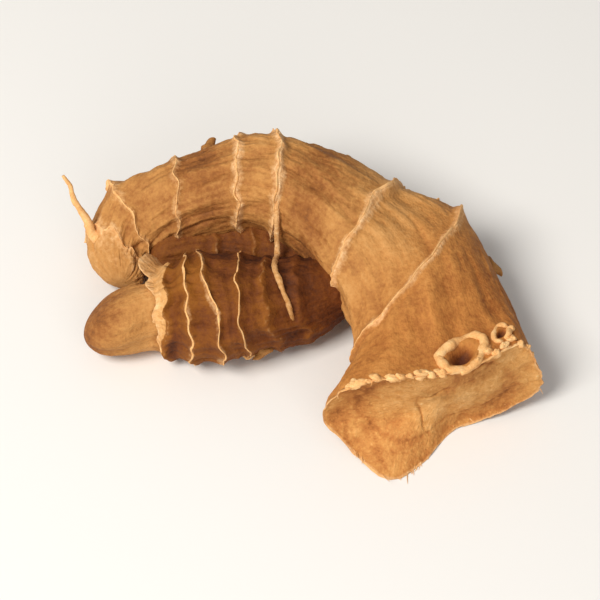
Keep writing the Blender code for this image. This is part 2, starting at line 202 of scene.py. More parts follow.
def lattice(seed, angle, along, cells, pitch):
    """Seeded noise between -1 and 1 that closes round the finger.

    Random values stand at the knots of a lattice, with so many cells round the finger and one for each
    pitch along it. Between the knots a smooth step blends them, both ways.
    """
    table = np.random.default_rng(seed).uniform(-1, 1, (256, cells))
    across = angle / (2 * math.pi) * cells
    down = along / pitch + 16
    column = np.floor(across).astype(int)
    row = np.floor(down).astype(int)
    u = across - column
    v = down - row
    u = u * u * (3 - 2 * u)
    v = v * v * (3 - 2 * v)

    def on_row(row):
        """The value on one row of knots, blended between the columns on both sides."""
        return table[row % 256, column % cells] * (1 - u) + table[row % 256, (column + 1) % cells] * u

    return on_row(row) * (1 - v) + on_row(row + 1) * v


def turned(angle):
    """The same angle, between minus and plus half a turn."""
    return np.angle(np.exp(1j * angle))


def held(value, width=1.0):
    """The value's share of the width, held between 0 and 1."""
    return np.clip(value / width, 0, 1)


def bell(away, width):
    """A bell curve: one where the distance is nought, and about a third at the width."""
    return np.exp(-((away / width) ** 2))


def bulge(angle, degrees, width):
    """A bell curve round a finger, about an angle in degrees."""
    return bell(turned(angle - math.radians(degrees)), width)


def angles_round(columns):
    """Even angles once round a finger or a thread."""
    return np.arange(columns) * 2 * math.pi / columns


def above_table(points, lowest=0.0):
    """The points, with those under the table lifted on to it."""
    points[..., 2] = np.maximum(points[..., 2], lowest)
    return points


def ring_offset(ring, seed, angle):
    """How far along the finger a ring strays from its own distance, at each angle round it."""
    _, towards_fork, on_top, *_ = ring
    stray = 0.5 * wave(seed, angle, (2, 3, 5, 8)) + 0.9 * wave(seed + 7, angle, (6, 9, 14))
    return towards_fork * np.cos(angle) + on_top * np.sin(angle) + stray


def furrows(seed, angle, share):
    """Lengthwise drying furrows of one internode: seeded grooves that fade out at its two rings."""
    rng = np.random.default_rng(seed)
    depth = np.zeros_like(angle)
    for place in np.arange(FURROWS) * 2 * math.pi / FURROWS:
        place = place + rng.uniform(-0.25, 0.25) + rng.uniform(-0.3, 0.3) * (share - 0.5)
        depth += rng.uniform(0.2, 1.0) * bell(turned(angle - place), rng.uniform(0.13, 0.20))
    return -FURROW_DEPTH * depth * np.sin(math.pi * held(share)) ** 0.6


def wrinkles(seed, angle, along, share):
    """The fine relief of dried skin, in mm.

    Long sharp creases lie where a stretched lattice noise passes zero, and shorter ones between them. They
    fade to a third at the rings. Shallow dents, faint cross wrinkles and a fine grit lie over everything.
    """
    fade = 0.3 + 0.7 * np.sin(math.pi * held(share)) ** 0.5
    drift = angle + 0.06 * np.sin(along / 4.0)
    long_creases = np.abs(lattice(seed, drift, along, 34, 7.0)) - 0.4
    short_creases = np.abs(lattice(seed + 1, drift, along, 66, 2.6)) - 0.4
    dents = lattice(seed + 4, angle, along, 10, 3.6) + 0.6 * lattice(seed + 5, angle, along, 19, 1.9)
    cross = lattice(seed + 2, angle, along, 20, 0.6)
    grit = lattice(seed + 3, angle, along, 120, 0.32)
    return (0.34 * long_creases + 0.17 * short_creases) * fade + 0.11 * dents + 0.04 * cross + 0.03 * grit


def root_scars(finger, along, angle):
    """Small craters where thin roots broke off: a raised ring round a pit, by the distance from its middle.

    It returns the relief in mm and how deep in a pit each place lies, from 0 to 1.
    """
    relief = np.zeros_like(along)
    pit = np.zeros_like(along)
    for distance, degrees, radius, depth in finger.root_scars:
        turn = math.radians(degrees)
        width, height = half_sizes(finger, distance)
        radius_there = math.hypot(width * math.sin(turn), height * math.cos(turn))
        away = np.hypot(along - distance, turned(angle - turn) * radius_there * 0.8)
        inside = np.exp(-((away / (0.62 * radius)) ** 4))
        relief += 0.25 * radius * bell(away - radius, 0.35 * radius) - depth * inside
        pit += inside
    return relief, pit


def rim_point(angle):
    """The rim of the cut end, at each angle round it."""
    rows = np.array(CUT_RIM, float)
    turn = np.array([360.0, 0, 0, 0])
    dense = curve_through(np.vstack([rows[-2:] - turn, rows, rows[:3] + turn]), 24)
    degrees = (np.degrees(angle) + 20) % 360 - 20
    return np.stack([np.interp(degrees, dense[:, 0], dense[:, k]) for k in (1, 2, 3)], -1) + CENTRING


def internode(finger, along, angle):
    """The stretch between two rings in which a place lies, its share of the way and how they shift it."""
    length = finger.path[0][-1]
    marks = np.array([0.0, *(ring[0] for ring in finger.rings), length])
    offsets = [ring_offset(ring, finger.seed + k, angle) for k, ring in enumerate(finger.rings)]
    offsets = np.stack([np.zeros_like(angle), *offsets, np.zeros_like(angle)])
    place = np.clip(np.searchsorted(marks, along, side="right") - 1, 0, len(marks) - 2)
    share = held(along - marks[place], marks[place + 1] - marks[place])
    shift = np.take_along_axis(offsets, place[None], 0)[0] * (1 - share)
    shift += np.take_along_axis(offsets, place[None] + 1, 0)[0] * share
    return place, share, shift


def skin(finger, along, angle, fine=1.0):
    """Points of a finger's skin in mm, the directions away from its middle, and the depth of its grooves.

    A point sits at a distance along the finger and an angle round it, on an oval section of the smooth
    path. On the oval stand slow lumps, a lip along each ring, furrows, wrinkles and root scars. Between two
    rings the grid is sheared to follow both. Towards the cut end the oval turns into the shape of the rim.
    """
    length = finger.path[0][-1]
    place, share, shift = internode(finger, along, angle)
    relief = LUMP_HEIGHT * wave(finger.seed + 30, angle + along / 9.0, (2, 3))
    relief += 0.4 * LUMP_HEIGHT * np.sin(along / 2.3 + 2 * angle)
    grooves = np.zeros_like(relief)
    for k, (distance, _, _, lip, burr_angle, burr) in enumerate(finger.rings):
        away = along - distance
        ragged = burr * bulge(angle, burr_angle, BURR_WIDTH)
        ragged = ragged * (1 + 0.5 * fine * lattice(finger.seed + 45 + k, angle, along, 44, 0.7))
        torn = 1 + 0.5 * wave(finger.seed + 40 + k, angle, (3, 4, 7))
        torn = torn + 0.6 * fine * lattice(finger.seed + 50 + k, angle, along, 80, 9.0)
        relief += lip * torn * bell(away, finger.lip_width) + ragged * bell(away, 0.8)
        grooves -= 0.35 * lip * bell(np.abs(away) - 1.1, 0.5)
    for k in range(len(finger.rings) + 1):
        at_tip = (k == 0 and finger.blunt_start) or (k == len(finger.rings) and finger.blunt_end)
        depth = furrows(finger.seed + 60 + k, angle, share) * (0.3 if at_tip else 1.0)
        grooves += np.where(place == k, depth, 0)
    grooves += fine * wrinkles(finger.seed + 80, angle, along, share)
    relief += grooves + fine * root_scars(finger, along, angle)[0]

    centre, side, up, _, half_width, half_height = frame_at(finger.path, np.clip(along + shift, 0, length))
    tip = np.ones_like(along)
    for away, blunt in ((along, finger.blunt_start), (length - along, finger.blunt_end)):
        if blunt:
            tip = tip * np.sqrt(1 - (1 - held(away, blunt)) ** 2)
    oval = centre + on_oval(side, up, angle, half_width * tip, half_height * tip)
    out = unit(on_oval(side, up, angle, 1 / half_width, 1 / half_height))
    points = oval + out * (relief * tip)[..., None]
    if finger.cut:
        centre, side, up, _, half_width, half_height = frame_at(finger.path, np.full_like(along, length))
        end_oval = centre + on_oval(side, up, angle, half_width, half_height)
        into_rim = held(along - length + RIM_REACH, RIM_REACH)
        points += (rim_point(angle) - end_oval) * (into_rim**2 * (3 - 2 * into_rim))[..., None]
    return above_table(points), out, grooves


def spot(finger, distance, degrees):
    """One point of a finger's skin, and the direction away from its middle there."""
    points, out, _ = skin(finger, np.array([float(distance)]), np.radians([float(degrees)]))
    return points[0], out[0]


def scar_lines(finger, along, angle, width, strengths):
    """How strongly a place lies on a leaf scar, from 0 to 1: a bell curve over its distance from each ring.

    The line wanders a little, and its width and strength change round the finger.
    """
    total = np.zeros_like(along)
    for k, (ring, strength) in enumerate(zip(finger.rings, strengths)):
        wander = 0.2 * lattice(finger.seed + 90 + k, angle, along, 34, 50.0)
        wide = width * (1 + 0.5 * lattice(finger.seed + 110 + k, angle, along, 22, 50.0))
        strong = strength * (0.75 + 0.45 * lattice(finger.seed + 130 + k, angle, along, 15, 50.0))
        total += strong * bell(along - ring[0] - wander, wide)
    return held(total)


def grid_of(down, columns):
    """A grid with the given values down it, and one with even angles once round it."""
    return np.repeat(np.array(down)[:, None], columns, 1), np.tile(angles_round(columns), (len(down), 1))


def finger_grid(finger, rows, columns):
    """The distances and angles of a fine grid over a finger, with its rows drawn together at blunt ends."""
    share = np.linspace(0, 1, rows)
    along = finger.path[0][-1] * share - finger.blunt_start * 3.6 * share * (1 - share) ** 12
    along += finger.blunt_end * 3.6 * (1 - share) * share**12
    return grid_of(along, columns)


def closed_skin(points, **masks):
    """A closed surface from a grid: columns go round, and each end row shrinks to one point."""
    rows, columns, _ = points.shape
    index = 1 + np.arange((rows - 2) * columns).reshape(rows - 2, columns)
    beside = np.roll(index, -1, axis=1)
    faces = np.stack([index[:-1], beside[:-1], beside[1:], index[1:]], -1).reshape(-1, 4).tolist()
    faces += [(0, b, a) for a, b in zip(index[0].tolist(), beside[0].tolist())]
    faces += [(index.size + 1, a, b) for a, b in zip(index[-1].tolist(), beside[-1].tolist())]

    def drawn_in(values):
        """The values in one list, with each end row taken as one value, its mean."""
        middle = values[1:-1].reshape(-1, *values.shape[2:])
        return np.concatenate([values[:1].mean(1), middle, values[-1:].mean(1)])

    return drawn_in(points), faces, {name: drawn_in(values) for name, values in masks.items()}


def facing_out(points, faces):
    """The faces, turned round if they face inwards.

    Each face spans a tetrahedron with the origin. Their volumes add up to the space inside, which counts
    below zero if the surface is inside out.
    """
    first, second, third, fourth = (points[[face[k] for face in faces]] for k in (0, 1, 2, -1))
    inside = np.sum(first * np.cross(second, third)) + np.sum(first * np.cross(third, fourth))
    return faces if inside > 0 else [face[::-1] for face in faces]


def new_object(name, data):
    """An object in the scene for a mesh, lamp or camera."""
    made = bpy.data.objects.new(name, data)
    bpy.context.scene.collection.objects.link(made)
    return made


def add_piece(name, surfaces, material):
    """One object from closed surfaces in mm. It rides on the root and stands for the part's plain solid."""
    corners = np.vstack([surface[0] for surface in surfaces]) * 0.001
    faces = []
    start = 0
    for points, own_faces, _ in surfaces:
        faces += [tuple(start + corner for corner in face) for face in facing_out(points, own_faces)]
        start += len(points)
    mesh = bpy.data.meshes.new(name)
    mesh.from_pydata(corners.tolist(), [], faces)
    for label in surfaces[0][2]:
        values = np.concatenate([surface[2][label] for surface in surfaces])
        flat = values.ndim == 1
        layer = mesh.attributes.new(label, "FLOAT" if flat else "FLOAT_VECTOR", "POINT")
        layer.data.foreach_set("value" if flat else "vector", values.astype(np.float32).ravel())
    mesh.shade_smooth()
    mesh.materials.append(material)
    piece = new_object(name, mesh)
    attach(piece, "root")
    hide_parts("rhizome")


def paint(red, green, blue):
    """A colour as it looks on the screen, from 0 to 255, as the linear values that a shader takes."""
    screen = np.array([red, green, blue]) / 255
    linear = np.where(screen <= 0.04045, screen / 12.92, ((screen + 0.055) / 1.055) ** 2.4)
    return (*linear.tolist(), 1.0)


def node(tree, kind, inputs, **settings):
    """Adds a shader node with its settings, and its inputs as values or as sockets to link."""
    made = tree.nodes.new("ShaderNode" + kind)
    for name, value in settings.items():
        setattr(made, name, value)
    for key, value in inputs.items():
        if isinstance(value, bpy.types.NodeSocket):
            tree.links.new(value, made.inputs[key])
        else:
            made.inputs[key].default_value = value
    return made


def mask(tree, name):
    """The number that the mesh keeps under this name."""
    return node(tree, "Attribute", {}, attribute_name=name).outputs["Fac"]


def noise(tree, place, scale, detail, roughness):
    """Cloudy noise, about 0.5 on average."""
    values = {"Vector": place, "Scale": scale, "Detail": detail, "Roughness": roughness}
    return node(tree, "TexNoise", values).outputs[0]


def weigh(tree, start, *terms):
    """A sum of sockets, each times its weight, on top of a start value."""
    total = start
    for value, weight in terms:
        total = node(tree, "Math", {0: value, 1: weight, 2: total}, operation="MULTIPLY_ADD").outputs[0]
    return total


def spread(tree, value, low, high):
    """Stretches the range from low to high over 0 to 1, and holds it there."""
    return node(tree, "MapRange", {"Value": value, "From Min": low, "From Max": high}).outputs[0]


def ramp(tree, value, *stops):
    """A colour for each value: a stop is a value and a colour, with even blends between the stops."""
    made = node(tree, "ValToRGB", {"Fac": value})
    elements = made.color_ramp.elements
    while len(elements) < len(stops):
        elements.new(0.5)
    for element, (position, *_) in zip(elements, stops):
        element.position = position
    for element, (_, *colour) in zip(elements, stops):
        element.color = paint(*colour)
    return made.outputs["Color"]


def blend(tree, share, first, second, how="MIX"):
    """Mixes two colours by a share."""
    return node(tree, "Mix", {0: share, 6: first, 7: second}, data_type="RGBA", blend_type=how).outputs[2]


def new_material(name):
    """A material, its node tree and its shader."""
    material = bpy.data.materials.new(name)
    material.use_nodes = True
    return material, material.node_tree, material.node_tree.nodes["Principled BSDF"]


def link_finish(tree, shader, colour, rough, height, specular, bump_strength, bump_depth):
    """Gives the shader its colour and roughness and a bump from a height, and sets how it reflects."""
    bump = node(tree, "Bump", {"Strength": bump_strength, "Distance": bump_depth, "Height": height})
    for name, socket in (("Base Color", colour), ("Roughness", rough), ("Normal", bump.outputs["Normal"])):
        tree.links.new(socket, shader.inputs[name])
    shader.inputs["Specular IOR Level"].default_value = specular


def skin_material():
    """Dried skin and bare flesh.

    The skin is tan, mottled in large patches and small specks, with lengthwise streaks, and cream on the
    leaf scars. Its grooves are darker and the ridges between them lighter: painted shade in the grooves and
    rubbed wear on the ridges. The pits are darker with painted shade. A shade mask multiplies the colour
    towards olive brown: painted shade in the crook of the fork, on undersides, in pits and on the pieces
    under the arch. The flesh of the cut is warmer, with pale fibre ends and darker stains.
    """
    material, tree, shader = new_material("dried skin and flesh")
    place = node(tree, "TexCoord", {}).outputs["Object"]
    grain = node(tree, "Attribute", {}, attribute_name="grain").outputs["Vector"]

    patches = noise(tree, place, 280, 4, 0.62)
    specks = noise(tree, place, 1900, 3, 0.65)
    streaks = noise(tree, grain, 1.6, 5, 0.7)
    hairlines = noise(tree, grain, 6.0, 3, 0.6)
    # Painted shade: the pits and the grooves come out darker here.
    light = weigh(
        tree, -0.085, (patches, 0.5), (specks, 0.48), (streaks, 0.16), (hairlines, 0.08),
        (mask(tree, "tone"), 1.0), (mask(tree, "groove"), 0.09), (mask(tree, "pit"), -0.45))
    skin_colour = ramp(
        tree, light, (0.0, 92, 48, 16), (0.25, 149, 92, 40), (0.5, 187, 131, 69), (0.75, 208, 155, 93),
        (1.0, 230, 184, 123))
    # Painted shade: the shade mask multiplies the colour towards olive brown.
    shaded = blend(tree, mask(tree, "shade"), skin_colour, paint(180, 150, 70), "MULTIPLY")
    warm_colour = blend(tree, mask(tree, "warm"), shaded, paint(255, 238, 214), "MULTIPLY")

    torn = weigh(tree, -0.6, (mask(tree, "scar"), 1.3), (specks, 0.6), (streaks, 0.3))
    scar_share = spread(tree, torn, 0.05, 1.1)
    scar_colour = ramp(tree, specks, (0.3, 216, 156, 98), (0.5, 240, 190, 134), (0.7, 250, 212, 162))
    skin_and_scars = blend(tree, scar_share, warm_colour, scar_colour)

    fibres = noise(tree, grain, 3.4, 4, 0.65)
    clouds = noise(tree, place, 300, 5, 0.65)
    cells = node(tree, "TexVoronoi", {"Vector": place, "Scale": 1500.0, "Randomness": 1.0})
    pale_ends = spread(tree, cells.outputs["Distance"], 0.32, 0.12)
    flesh_light = weigh(
        tree, -0.5, (fibres, 0.35), (clouds, 0.9), (specks, 0.6), (pale_ends, 0.15),
        (mask(tree, "groove"), 0.22), (mask(tree, "tone"), 0.7))
    flesh_colour = ramp(
        tree, flesh_light, (0.0, 142, 82, 32), (0.25, 182, 117, 56), (0.5, 206, 146, 78),
        (0.75, 224, 168, 101), (1.0, 244, 204, 144))
    whole = blend(tree, mask(tree, "flesh"), skin_and_scars, flesh_colour)

    rough = weigh(tree, 0.62, (specks, 0.22), (scar_share, 0.08), (streaks, 0.1))
    threads = node(tree, "Math", {0: fibres, 1: mask(tree, "flesh")}, operation="MULTIPLY").outputs[0]
    height = weigh(
        tree, 0.0, (streaks, 0.6), (hairlines, 0.35), (specks, 0.9), (scar_share, 0.5), (pale_ends, 0.15),
        (threads, 1.2))
    link_finish(tree, shader, whole, rough, height, specular=0.32, bump_strength=0.8, bump_depth=0.0002)
    return material


def grain_of(angle, along):
    """Where the streaks are read: round a 6 mm cylinder, with the distance along pressed to a ninth."""
    return np.stack([6 * np.cos(angle), 6 * np.sin(angle), along / 9], -1)


def skin_masks(grain, **given):
    """All masks that the skin's material reads: where its streaks lie, the given ones, and noughts."""
    nothing = np.zeros(grain.shape[:2])
    labels = ("scar", "groove", "pit", "tone", "shade", "flesh", "warm")
    return {"grain": grain, **{label: nothing + given.get(label, 0) for label in labels}}


def finger_masks(finger, along, angle, grooves):
    """The masks that colour a finger: scar lines, groove depth, pits, tone along it and the streaks."""
    return skin_masks(
        grain_of(angle, along),
        scar=scar_lines(finger, along, angle, finger.scar_width, finger.scar_strengths),
        groove=np.clip(grooves / 0.35, -1.4, 1),
        pit=root_scars(finger, along, angle)[1],
        tone=np.interp(along, *np.transpose(finger.tones)))


def rim_notches(angle, along):
    """How far the skin's edge stands out or in round the cut, in mm."""
    return 0.2 * lattice(175, angle, along, 70, 3.0)


arch = Finger(
    smooth_path(ARCH_SECTIONS), ARCH_RINGS, lip_width=0.36, seed=100, blunt_start=3.4, blunt_end=0.0,
    root_scars=ARCH_ROOT_SCARS, tones=ARCH_TONES, scar_width=0.6,
    scar_strengths=(0.35, 0.5, 0.7, 1.0, 1.15, 0.95, 0.9), cut=True)
arch_length = arch.path[0][-1]
along, angle = finger_grid(arch, 300, 256)
points, out, grooves = skin(arch, along, angle)
masks = finger_masks(arch, along, angle, grooves)

# The hooked tip is scaly: a coarse, steep grit over its first stretch, with pale crumbs.
scaly = held(SCALY_LENGTH - along, 2.5) * held(along, 1.5)
scales = lattice(171, angle, along, 34, 0.55) + 0.5 * lattice(172, angle, along, 60, 0.3)
points = above_table(points + out * (0.13 * scales * scaly)[..., None])
masks["scar"] = held(masks["scar"] + scaly * (0.18 + 0.15 * scales))

# The last ring fades out on the fork side.
fork_side = held(math.radians(75) - np.abs(turned(angle - math.radians(-20))), 0.5)
masks["scar"] *= 1 - 0.8 * fork_side * bell(along - ARCH_RINGS[-1][0], 3)

# The side in the crook of the fork, the underside and the pits are darker with painted shade, and the
# broad end is warmer. Painted shading also makes the middle a little darker on its fork side and lighter
# on its far side, and the broad end darker on its far side.
crook = held(np.cos(angle + 0.8)) * held(along - 8, 6) * held(30 - along, 6)
underside = held(-np.sin(angle) - 0.3)
masks["shade"] = held(0.55 * crook**2 + 0.4 * underside + 0.5 * masks["pit"])
masks["warm"] = held(along - 42, 14)
masks["tone"] -= 0.12 * np.cos(angle) * bell(along - 38, 8)
masks["tone"] -= 0.12 * held(-np.cos(angle)) * held(along - 52, 4)

# The skin ends in a pale, notched rim. Inside it, the flesh is a shallow dish: its depth follows one minus
# the eighth power of the share of the way out, less a low mound in the middle. On it lie slow ripples, a
# faint ring round the core, fibre ends, and drying cracks where a slow noise passes zero.
notches = rim_notches(angle, along) * bell(arch_length - along, 0.9)
points = above_table(points + out * notches[..., None])
masks["scar"] = held(masks["scar"] + 0.8 * bell(arch_length - along, 0.3))
rim = points[-1]
middle = rim.mean(0)
_, end_side, end_up, forward, _, _ = (v[0] for v in frame_at(arch.path, arch.path[0][-1:]))
spoke = rim - middle
level = spoke @ forward
flat = spoke - level[:, None] * forward
shares = (0.996, 0.988, 0.975, *np.linspace(0.955, 0.02, 58), 0.0)
share, face_angle = grid_of(shares, len(rim))
dish = DISH_DEPTH * (1 - share**8) - MOUND_HEIGHT * bell(share, 0.4)
sweep = middle + flat * share[..., None]

# The noise on the face is read straight across it, over a full 60 mm for one turn.
flat_place = (sweep @ end_side * (2 * math.pi / 60), sweep @ end_up)
ripple = 0.28 * lattice(180, *flat_place, 11, 4.5) + 0.16 * lattice(181, *flat_place, 26, 2.1)
ripple += 0.08 * lattice(182, *flat_place, 60, 0.9) + 0.05 * lattice(183, *flat_place, 130, 0.42)
crack_line = lattice(184, *flat_place, 13, 4.2) + 0.25 * lattice(185, *flat_place, 40, 1.4)
cracked = bell(crack_line, 0.05) * held(1.6 * lattice(186, *flat_place, 9, 6.0))
stele = bell(share - 0.7 - 0.025 * wave(174, face_angle, (2, 3, 5)), 0.03)
ripple = (ripple - 0.08 * stele - 0.35 * cracked) * held(1 - share, 0.06)
face = above_table(sweep + forward * (level * share**2 - dish + ripple)[..., None])
dark_side = bell(turned(face_angle - 5.4), 0.6)
light_side = bell(turned(face_angle - 2.9), 0.5)
face_masks = skin_masks(
    grain_of(face_angle, 70 + 40 * (1 - share)),
    scar=0.8 * bell(1 - share, 0.018),
    groove=np.clip(ripple / 0.25, -1, 1),
    tone=-0.12 * stele - 0.4 * cracked - 0.16 * share * dark_side + 0.08 * share * light_side,
    flesh=held(1 - share, 0.03),
    warm=1)
skin_finish = skin_material()
whole_arch = closed_skin(
    np.concatenate([points, face]),
    **{name: np.concatenate([masks[name], face_masks[name]]) for name in masks})
add_piece("long_finger", [whole_arch], skin_finish)


# The short finger.
# It is a side branch that curls forward from the fork and lies on the table in the crook of the arch. It is
# ringed like a grub and ends in a pale smooth bud. Its skin is painted darker than the stem's, as the shade
# that the arch casts on it.

FINGER_SECTIONS = (
    (5.0, -0.4, 4.9, -80, 0, 0, 3.9, 3.9),
    (0.4, -3.2, 4.9, -84, 0, 0, 4.8, 4.6),
    (-5.0, -5.3, 5.5, -88, 0, 0, 5.8, 5.5),
    (-10.0, -6.0, 6.0, -90, 0, 0, 6.5, 6.1),
    (-14.6, -6.1, 5.9, -91, 0, 0, 6.1, 6.0),
    (-17.6, -6.1, 5.0, -92, 0, 0, 4.5, 4.9),
    (-19.2, -6.1, 4.5, -92, 0, 0, 3.9, 4.3),
    (-22.4, -6.5, 4.0, -95, 0, 0, 4.5, 4.2),
    (-27.2, -7.6, 3.4, -98, 0, 0, 3.1, 3.2),
)
FINGER_RINGS = (
    (7.2, 0.0, 1.0, 0.20, 60, 0.2),
    (11.0, 0.0, 1.2, 0.24, 100, 0.2),
    (14.4, 0.0, 0.9, 0.26, 30, 0.2),
    (18.4, -1.4, 0.7, 0.28, 90, 0.2),
    (21.1, -0.6, 0.4, 0.28, 50, 0.2),
    (23.6, 0.0, 0.4, 0.45, 120, 0.5),
)
FINGER_ROOT_SCARS = (
    (9.2, 300, 0.7, 0.35), (13.0, 225, 0.6, 0.3), (15.8, 338, 0.5, 0.25), (18.8, 262, 0.8, 0.4))
# Tone along the short finger. The dark stretch by the fork and the dark far end of the bud are painted
# shade.
FINGER_TONES = (
    (0, -0.3), (8, -0.27), (12, -0.18), (16, -0.14), (19, -0.12), (22, -0.06), (24, 0.0), (26, 0.04),
    (28, -0.04), (30, -0.16), (34, -0.3))
BUD_START = 23.8

short_finger = Finger(
    smooth_path(FINGER_SECTIONS), FINGER_RINGS, lip_width=0.5, seed=200, blunt_start=2.0, blunt_end=3.8,
    root_scars=FINGER_ROOT_SCARS, tones=FINGER_TONES, scar_width=0.34,
    scar_strengths=(0.1, 0.2, 0.3, 0.5, 0.35, 0.3))
along, angle = finger_grid(short_finger, 240, 200)
bud = held(along - BUD_START, 1.5)
points, out, grooves = skin(short_finger, along, angle, 1 - 0.6 * bud)
masks = finger_masks(short_finger, along, angle, grooves)

# The skin beside each ring is lighter. The top of the neck is lighter too, as painted light on the side
# that faces up. The crease at the back, under the arch, is darker with painted shade, and the low front
# edge of the neck is darker.
masks["tone"] += 0.14 * scar_lines(short_finger, along, angle, 0.8, (1.0,) * len(FINGER_RINGS))
masks["tone"] += 0.08 * lattice(270, angle, along, 7, 3.4)
neck_top = bell(along - 20.5, 3) * bell(turned(angle - 1.5), 0.6)
crease = held(angle - 1.9, 0.4) * held(3.5 - angle, 0.5)
neck_front = bell(along - 22.9, 0.5) * held(np.cos(angle + 0.4)) ** 2
masks["tone"] += (0.12 * neck_top - 0.2 * crease) * (1 - bud) - 0.3 * neck_front
# Painted shade: all but the bud is multiplied towards the shade colour.
masks["shade"] = 1.0 - bud
add_piece("short_finger", [closed_skin(points, **masks)], skin_finish)


# The hidden lobe.
# It is a stunted second branch under the arch, which fills the shaded gap behind the short finger. It grows
# from the same fork and lies on the table. Its low tones and its shade mask paint it dark, as the shade
# under the arch.

LOBE_SECTIONS = (
    (4.5, 1.4, 5.4, -104, 0, 0, 4.6, 4.4),
    (-2.0, 3.6, 4.4, -98, 0, 0, 4.8, 4.0),
    (-8.0, 5.2, 3.9, -92, 0, 0, 4.6, 3.8),
    (-13.6, 5.4, 3.7, -90, 0, 0, 4.3, 3.6),
    (-20.4, 4.2, 3.5, -90, 0, 0, 3.5, 3.2),
)
LOBE_RINGS = (
    (12.0, 0.4, 0.0, 0.30, 0, 0.2),
    (17.0, -0.3, 0.4, 0.30, 20, 0.2),
)

# The lobe's low tones are painted shade.
lobe = Finger(
    smooth_path(LOBE_SECTIONS), LOBE_RINGS, lip_width=0.4, seed=300, blunt_start=2.0, blunt_end=3.6,
    root_scars=((14.6, 250, 0.7, 0.3),), tones=((0, -0.3), (16, -0.26), (22, -0.1)),
    scar_width=0.26, scar_strengths=(0.3, 0.3))
along, angle = finger_grid(lobe, 150, 130)
points, out, grooves = skin(lobe, along, angle)
masks = finger_masks(lobe, along, angle, grooves)
masks["tone"] += 0.12 * scar_lines(lobe, along, angle, 0.7, (1.0,) * len(LOBE_RINGS))
# Painted shade over the whole lobe.
masks["shade"] = np.full_like(along, 0.9)
add_piece("hidden_lobe", [closed_skin(points, **masks)], skin_finish)


# Torn leaf bases.
# Each ring still carries the dry, papery edge of the leaf that grew there: a thin, ragged fringe that
# stands up from the skin and leans to the finger's tip. A broader bract wraps the short finger's neck and
# reaches over its bud.

FRINGE_PROFILE = ((-0.13, -0.20), (-0.08, 0.35), (0.0, 0.95), (0.05, 1.0), (0.09, 0.6), (0.13, -0.20))
# For each fringe: the ring, its height, and the angle, height and width of its tallest flap.
ARCH_FRINGES = (
    (0, 0.14, 200, 0.3, 0.3),
    (1, 0.18, 150, 0.3, 0.3),
    (2, 0.12, 70, 0.15, 0.4),
    (3, 0.16, 40, 0.2, 0.3),
    (4, 0.26, 60, 0.25, 0.4),
    (5, 0.20, 118, 0.2, 0.3),
    (6, 0.04, 128, 0.22, 1.0),
)
FINGER_FRINGES = (
    (2, 0.05, 60, 0.1, 0.3),
    (3, 0.08, 66, 0.25, 0.22),
    (4, 0.08, 96, 0.3, 0.2),
)
# How far a fringe leans along its finger for each mm of its height.
ARCH_LEAN = -0.9
FINGER_LEAN = 0.6
BRACT_START = 23.2
# At its back corner the bract stands up and spreads: how far in mm, the angle and how wide.
BRACT_STANDING = (3.1, 146, 0.55)
BRACT_SPREADING = (1.5, 128, 0.5)


def ring_noise(seed, angle, cells):
    """Seeded noise between -1 and 1 round a ring."""
    return lattice(seed, angle, np.zeros_like(angle), cells, 1.0)


def fringe(finger, lean, ring_number, height, flap_angle, flap_height, flap_width):
    """The torn edge along one ring: a thin wedge carried round the finger on its skin.

    Its height is a ragged noise with teeth, plus a bell curve at the flap, and it leans along as it rises.
    """
    seed = finger.seed + 700 + 10 * ring_number
    angle = angles_round(420)
    teeth = 0.45 + 0.4 * ring_noise(seed, angle, 24) + 0.4 * ring_noise(seed + 1, angle, 90)
    flap = flap_height * bulge(angle, flap_angle, flap_width) * (1 + 0.15 * ring_noise(seed + 3, angle, 60))
    ragged = np.clip(teeth, 0.03, 1.3) * height + flap
    drift = 0.12 * ring_noise(seed + 2, angle, 40)
    rows = []
    for across, rise in FRINGE_PROFILE:
        thick = 1 + 1.2 * flap * (rise < 0.5)
        reach = finger.rings[ring_number][0] + drift + across * thick
        base, out, _ = skin(finger, reach, angle)
        ahead = frame_at(finger.path, reach)[3]
        grown = max(rise, 0) * ragged[:, None]
        rows.append(base + out * (grown if rise > 0 else -0.15) + ahead * lean * grown)
    return above_table(np.stack(rows))


def closed_band(grid, **masks):
    """A closed ring of a surface from a grid whose rows and columns both go round."""
    rows, columns, _ = grid.shape
    index = np.arange(rows * columns).reshape(rows, columns)
    beside = np.roll(index, -1, axis=1)
    faces = np.stack([index, beside, np.roll(beside, -1, axis=0), np.roll(index, -1, axis=0)], -1)
    flat = {name: values.reshape(rows * columns, *values.shape[2:]) for name, values in masks.items()}
    return grid.reshape(-1, 3), faces.reshape(-1, 4).tolist(), flat


def bract():
    """The bract round the neck: a sheet that runs from under its ring to a ragged free edge over the bud.

    Its outer side climbs evenly from its foot, and its inner side comes back below it, closer and closer to
    the edge. It reaches furthest over the top, and its foot starts later at the front. At the back two bell
    curves make it stand up to the hooked tip and spread over the corner under it.
    """
    rows = 14
    share, turn = grid_of(np.concatenate([np.linspace(0, 1, rows), np.linspace(1, 0, rows)]), 400)
    inner = (np.arange(2 * rows) >= rows)[:, None]
    angle = turn[0]
    over_top = held(np.cos(angle - math.radians(85)) + 0.35)
    ragged = 1 + 0.25 * ring_noise(281, angle, 20) + 0.06 * ring_noise(282, angle, 90)
    standing, spreading = (far * bulge(angle, *place) for far, *place in (BRACT_STANDING, BRACT_SPREADING))
    foot = BRACT_START + 0.6 * held(np.cos(angle + 0.4)) ** 2
    reach = 0.35 + 1.7 * over_top * ragged + spreading
    climb = (0.1 + 0.5 * over_top) * ragged + standing
    base, out, _ = skin(short_finger, foot + reach * share, turn)
    ribs = 0.04 * lattice(283, turn, 4 * share, 70, 3.0)
    height = -0.15 + (0.15 + climb) * share + ribs - inner * (0.38 - 0.28 * share)
    grid = above_table(base + out * height[..., None], 0.05 * inner)
    grain = grain_of(turn, foot + reach * share)
    masks = skin_masks(grain, scar=0.18 + 0.4 * share**4, groove=ribs / 0.1, tone=0.16 + 0.06 * share)
    return closed_band(grid, **masks)


